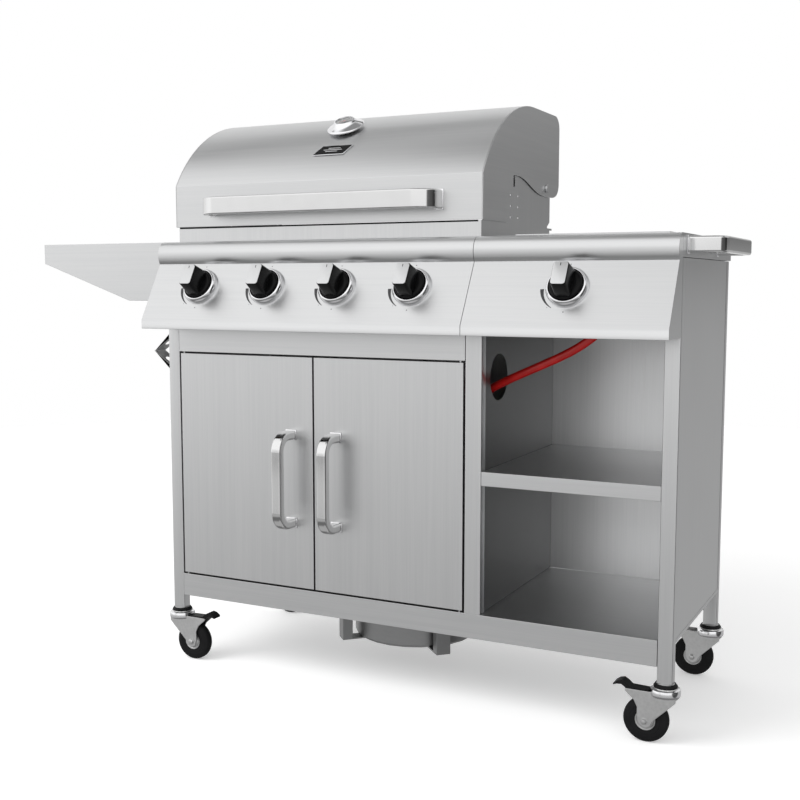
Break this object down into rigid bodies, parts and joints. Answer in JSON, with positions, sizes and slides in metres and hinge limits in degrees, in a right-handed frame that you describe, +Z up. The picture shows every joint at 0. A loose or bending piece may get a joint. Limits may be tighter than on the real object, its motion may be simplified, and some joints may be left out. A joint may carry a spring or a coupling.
{
  "type": "gas barbecue grill",
  "caption": "Stainless gas grill cart with a hinged hood, slanted knob panel, side burner, doors, open bay, side shelf, towel bar and swivel casters.",
  "frame": {"origin": "centre of the grill's footprint on the floor, with lid and doors closed", "axes": "+X to the right along the front, +Y from the front to the back, +Z up"},
  "size_m": [1.406, 0.5478, 1.103],
  "materials": {
    "brushed": "brushed",
    "polished": "polished",
    "chrome": "mirror",
    "zinc": "zinc plated",
    "cast_zinc": "cast",
    "iron": "enamelled",
    "black": "gloss",
    "brass": "turned",
    "tyre": "moulded",
    "hose": "satin"
  },
  "bodies": {
    "root": {"leg_front_left": "brushed", "leg_front_right": "brushed", "leg_rear_left": "brushed", "leg_rear_right": "brushed", "divider_post": "brushed", "base": "brushed", "side_panel_left": "brushed", "side_panel_right": "brushed", "divider_panel": "brushed", "back_panel": "brushed", "bay_shelf": "brushed", "door_header": "brushed", "side_shelf_left": "brushed", "tool_hook": "brushed", "towel_bar": "polished", "side_table": "brushed", "side_burner": "brushed", "control_panel_main": "brushed", "control_panel_side": "brushed", "gas_manifold": "zinc", "firebox": "brushed", "main_burners": "brushed", "cooking_grate_left": "iron", "cooking_grate_right": "iron", "warming_rack": "chrome", "bottle_pan": "brushed", "bottle_strap": "brushed", "gas_hose": "hose", "regulator": "cast_zinc"},
    "lid": {"lid_skin": "brushed", "lid_end_left": "brushed", "lid_end_right": "brushed", "lid_handle": "polished", "temperature_gauge": "chrome"},
    "left_door": {"door_left": "brushed", "door_handle_left": "polished"},
    "right_door": {"door_right": "brushed", "door_handle_right": "polished"},
    "burner_cover": {"side_burner_cover": "brushed"},
    "tray": {"grease_tray": "zinc"},
    "stem_1": {"valve_stem_1": "brass"},
    "knob_1": {"knob_1": "black"},
    "stem_2": {"valve_stem_2": "brass"},
    "knob_2": {"knob_2": "black"},
    "stem_3": {"valve_stem_3": "brass"},
    "knob_3": {"knob_3": "black"},
    "stem_4": {"valve_stem_4": "brass"},
    "knob_4": {"knob_4": "black"},
    "stem_side": {"valve_stem_side": "brass"},
    "knob_side": {"knob_side": "black"},
    "caster_front_left": {"caster_fork_front_left": "zinc"},
    "wheel_front_left": {"wheel_front_left": "tyre"},
    "brake_front_left": {"brake_pedal_front_left": "black"},
    "caster_front_right": {"caster_fork_front_right": "zinc"},
    "wheel_front_right": {"wheel_front_right": "tyre"},
    "brake_front_right": {"brake_pedal_front_right": "black"},
    "caster_rear_left": {"caster_fork_rear_left": "zinc"},
    "wheel_rear_left": {"wheel_rear_left": "tyre"},
    "caster_rear_right": {"caster_fork_rear_right": "zinc"},
    "wheel_rear_right": {"wheel_rear_right": "tyre"}
  },
  "joints": [
    {"name": "lid_hinge", "type": "hinge", "parent": "root", "child": "lid", "pos_m": [-0.053, 0.1964, 0.9536], "axis": [-1, 0, 0], "range_deg": [0, 79]},
    {"name": "left_door_hinge", "type": "hinge", "parent": "root", "child": "left_door", "pos_m": [-0.344, -0.1691, 0.404], "axis": [0, 0, -1], "range_deg": [0, 110]},
    {"name": "right_door_hinge", "type": "hinge", "parent": "root", "child": "right_door", "pos_m": [0.2565, -0.1691, 0.404], "axis": [0, 0, 1], "range_deg": [0, 110]},
    {"name": "burner_cover_hinge", "type": "hinge", "parent": "root", "child": "burner_cover", "pos_m": [0.468, 0.1689, 0.8482], "axis": [-1, 0, 0], "range_deg": [0, 95]},
    {"name": "grease_tray_slide", "type": "slide", "parent": "root", "child": "tray", "axis": [0, 1, 0], "range_m": [0, 0.28]},
    {"name": "knob_push_1", "type": "slide", "parent": "root", "child": "stem_1", "axis": [0, 0.874, -0.486], "range_m": [0, 0.004], "stiffness_N_per_m": 900, "springref_m": -0.002},
    {"name": "knob_turn_1", "type": "hinge", "parent": "stem_1", "child": "knob_1", "pos_m": [-0.2625, -0.22, 0.75813], "axis": [0, -0.874, 0.486], "range_deg": [0, 165]},
    {"name": "knob_push_2", "type": "slide", "parent": "root", "child": "stem_2", "axis": [0, 0.874, -0.486], "range_m": [0, 0.004], "stiffness_N_per_m": 900, "springref_m": -0.002},
    {"name": "knob_turn_2", "type": "hinge", "parent": "stem_2", "child": "knob_2", "pos_m": [-0.113, -0.22, 0.75813], "axis": [0, -0.874, 0.486], "range_deg": [0, 165]},
    {"name": "knob_push_3", "type": "slide", "parent": "root", "child": "stem_3", "axis": [0, 0.874, -0.486], "range_m": [0, 0.004], "stiffness_N_per_m": 900, "springref_m": -0.002},
    {"name": "knob_turn_3", "type": "hinge", "parent": "stem_3", "child": "knob_3", "pos_m": [0.0365, -0.22, 0.75813], "axis": [0, -0.874, 0.486], "range_deg": [0, 165]},
    {"name": "knob_push_4", "type": "slide", "parent": "root", "child": "stem_4", "axis": [0, 0.874, -0.486], "range_m": [0, 0.004], "stiffness_N_per_m": 900, "springref_m": -0.002},
    {"name": "knob_turn_4", "type": "hinge", "parent": "stem_4", "child": "knob_4", "pos_m": [0.186, -0.22, 0.75813], "axis": [0, -0.874, 0.486], "range_deg": [0, 165]},
    {"name": "knob_push_side", "type": "slide", "parent": "root", "child": "stem_side", "axis": [0, 0.874, -0.486], "range_m": [0, 0.004], "stiffness_N_per_m": 900, "springref_m": -0.002},
    {"name": "knob_turn_side", "type": "hinge", "parent": "stem_side", "child": "knob_side", "pos_m": [0.4665, -0.22, 0.75813], "axis": [0, -0.874, 0.486], "range_deg": [0, 165]},
    {"name": "swivel_front_left", "type": "hinge", "parent": "root", "child": "caster_front_left", "pos_m": [-0.367, -0.1631, 0.1], "axis": [0, 0, 1], "continuous": true},
    {"name": "roll_front_left", "type": "hinge", "parent": "caster_front_left", "child": "wheel_front_left", "pos_m": [-0.336, -0.1631, 0.0385], "axis": [0, 1, 0], "continuous": true},
    {"name": "brake_front_left", "type": "hinge", "parent": "caster_front_left", "child": "brake_front_left", "pos_m": [-0.337, -0.1631, 0.088], "axis": [0, 1, 0], "range_deg": [0, 9]},
    {"name": "swivel_front_right", "type": "hinge", "parent": "root", "child": "caster_front_right", "pos_m": [0.628, -0.1631, 0.1], "axis": [0, 0, 1], "continuous": true},
    {"name": "roll_front_right", "type": "hinge", "parent": "caster_front_right", "child": "wheel_front_right", "pos_m": [0.597, -0.1631, 0.0385], "axis": [0, 1, 0], "continuous": true},
    {"name": "brake_front_right", "type": "hinge", "parent": "caster_front_right", "child": "brake_front_right", "pos_m": [0.598, -0.1631, 0.088], "axis": [0, -1, 0], "range_deg": [0, 9]},
    {"name": "swivel_rear_left", "type": "hinge", "parent": "root", "child": "caster_rear_left", "pos_m": [-0.367, 0.2009, 0.1], "axis": [0, 0, 1], "continuous": true},
    {"name": "roll_rear_left", "type": "hinge", "parent": "caster_rear_left", "child": "wheel_rear_left", "pos_m": [-0.336, 0.2009, 0.0385], "axis": [0, 1, 0], "continuous": true},
    {"name": "swivel_rear_right", "type": "hinge", "parent": "root", "child": "caster_rear_right", "pos_m": [0.628, 0.2009, 0.1], "axis": [0, 0, 1], "continuous": true},
    {"name": "roll_rear_right", "type": "hinge", "parent": "caster_rear_right", "child": "wheel_rear_right", "pos_m": [0.597, 0.2009, 0.0385], "axis": [0, 1, 0], "continuous": true}
  ]
}
